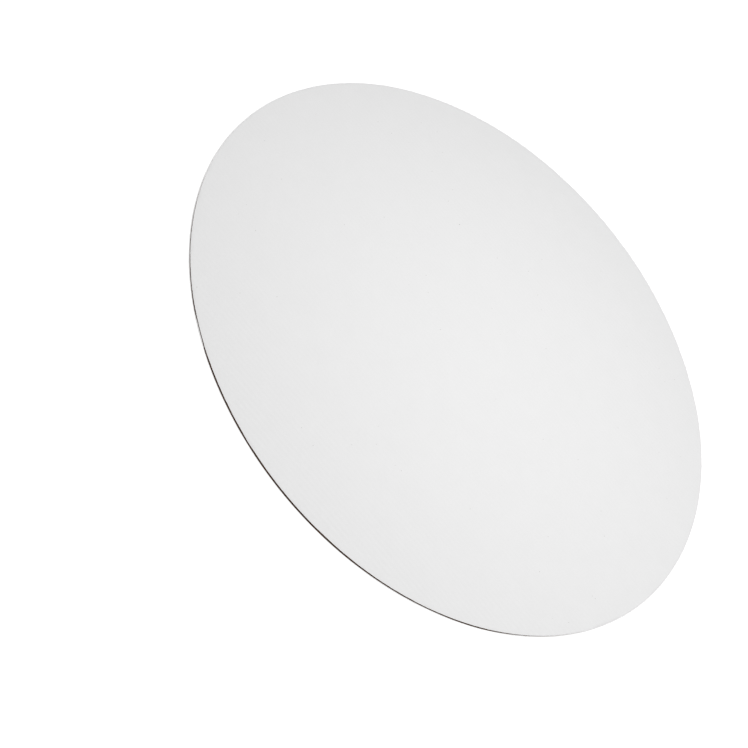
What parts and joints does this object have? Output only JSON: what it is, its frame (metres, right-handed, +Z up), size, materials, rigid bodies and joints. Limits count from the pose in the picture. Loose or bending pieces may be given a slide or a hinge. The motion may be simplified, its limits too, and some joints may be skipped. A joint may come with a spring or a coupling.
{
  "type": "pizza circle",
  "caption": "Flat round pizza base of single-wall corrugated board with a white top sheet and open flutes at its cut edge.",
  "frame": {"origin": "centre of the underside, on the surface the board lies on", "axes": "+Z up out of the white food side, X along the flutes, Y across them"},
  "size_m": [0.406, 0.406, 0.0016],
  "materials": {
    "white_top_paper": "matte white bleached liner with a faint fibre mottle",
    "brown_flute_paper": "rough brown fluting paper with cut fibres at the rim",
    "brown_liner_paper": "matte brown liner paper with visible fibres"
  },
  "bodies": {
    "root": {"top_liner": "white_top_paper", "fluted_medium": "brown_flute_paper", "bottom_liner": "brown_liner_paper"}
  },
  "joints": []
}
